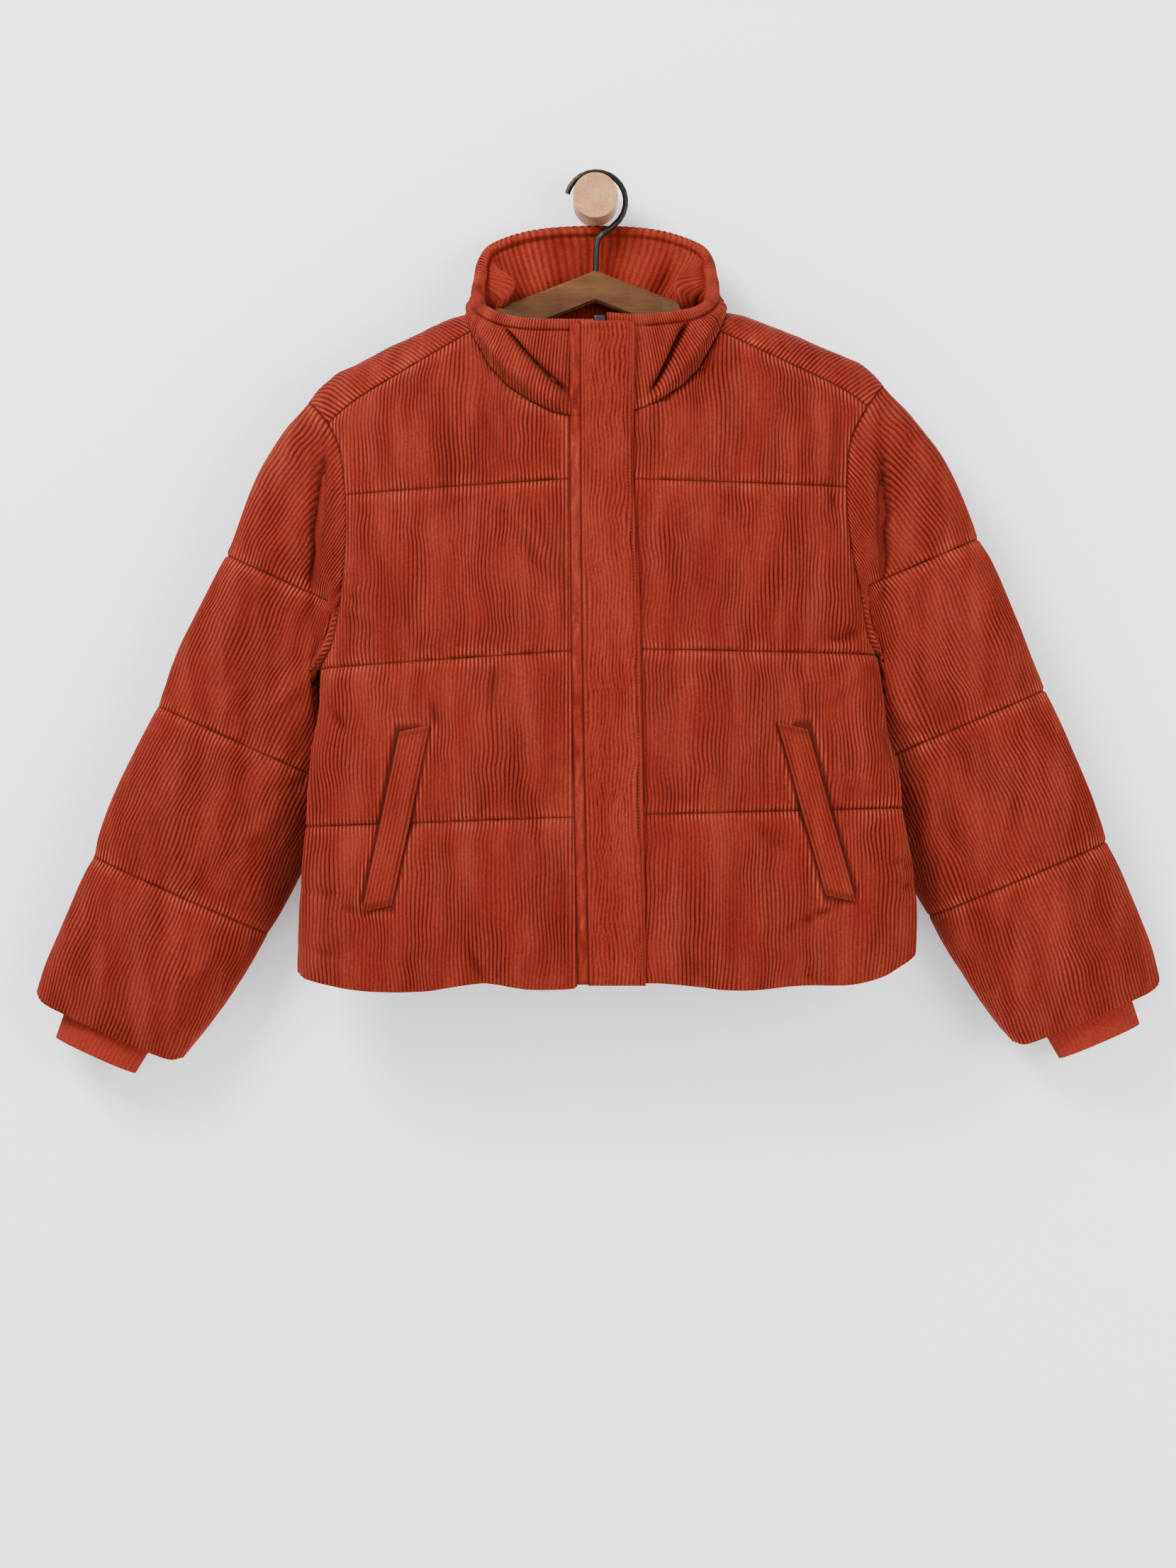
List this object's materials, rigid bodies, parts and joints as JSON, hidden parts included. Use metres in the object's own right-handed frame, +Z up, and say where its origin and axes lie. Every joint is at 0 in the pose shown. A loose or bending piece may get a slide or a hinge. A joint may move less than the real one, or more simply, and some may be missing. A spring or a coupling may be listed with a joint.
{
  "type": "quilted puffer jacket on a hanger and wall peg",
  "caption": "Quilted corduroy puffer jacket with a stand collar and wind flap, on a wooden hanger that hangs from a round wall peg.",
  "frame": {"origin": "centre of the peg's flat back, on the wall", "axes": "+Z up, +Y into the wall, and +X to the wearer's left, so the jacket hangs in front of the wall towards -Y and faces -Y"},
  "size_m": [1.0007, 0.1202, 0.8053],
  "materials": {
    "corduroy": "soft fine-wale corduroy, with visible wales and seams",
    "rib": "matte rib knit",
    "tape": "matte woven tape",
    "zip_metal": "dark grey, satin",
    "wood": "varnished oak",
    "wire": "black, satin",
    "peg": "pale, bare, sanded"
  },
  "bodies": {
    "root": {"back": "corduroy", "front_right": "corduroy", "front_left": "corduroy", "sleeve_right": "corduroy", "sleeve_left": "corduroy", "collar": "corduroy", "placket": "corduroy", "placket_strip": "corduroy", "welt_right": "corduroy", "welt_left": "corduroy", "cuff_right": "rib", "cuff_left": "rib", "zip_tape": "tape", "zip_slider": "zip_metal", "hanger": "wood", "hanger_hook": "wire", "wall_peg": "peg"}
  },
  "joints": []
}
